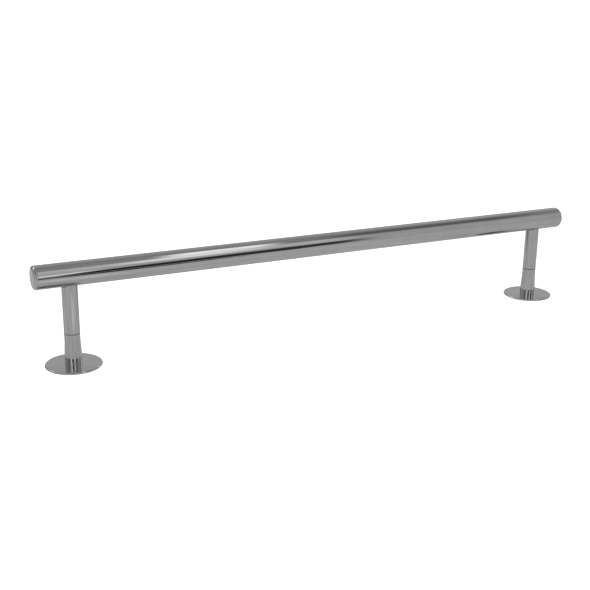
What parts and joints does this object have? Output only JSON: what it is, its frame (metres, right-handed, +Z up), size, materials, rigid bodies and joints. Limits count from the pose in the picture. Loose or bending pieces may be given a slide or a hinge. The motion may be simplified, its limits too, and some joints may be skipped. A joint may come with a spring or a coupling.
{
  "type": "grab rail",
  "caption": "Straight polished steel grab rail: a round tube with rounded end caps on two upright posts, each on a flat round deck flange, fixed from below by hidden studs.",
  "frame": {"origin": "on the mounting plane, midway between the two posts", "axes": "+X along the rail to the right-hand post, +Y away from the user towards the grub screws, +Z up from the mounting plane"},
  "size_m": [0.676, 0.06, 0.1127],
  "materials": {
    "polished_steel": "316 stainless steel, polished to a mirror",
    "machined_steel": "A4 stainless steel, plain turned or cold headed",
    "black_rubber": "black EPDM, matt"
  },
  "bodies": {
    "root": {"rail_tube": "polished_steel", "left_end_cap": "polished_steel", "left_cap_seal": "black_rubber", "left_deck_gasket": "black_rubber", "left_deck_flange": "polished_steel", "left_base_post": "polished_steel", "left_joint_seal": "black_rubber", "left_upper_post": "polished_steel", "left_grub_screw": "machined_steel", "left_rail_screw": "machined_steel", "left_spring_washer": "machined_steel", "left_saddle_nut": "machined_steel", "right_end_cap": "polished_steel", "right_cap_seal": "black_rubber", "right_deck_gasket": "black_rubber", "right_deck_flange": "polished_steel", "right_base_post": "polished_steel", "right_joint_seal": "black_rubber", "right_upper_post": "polished_steel", "right_grub_screw": "machined_steel", "right_rail_screw": "machined_steel", "right_spring_washer": "machined_steel", "right_saddle_nut": "machined_steel"}
  },
  "joints": []
}
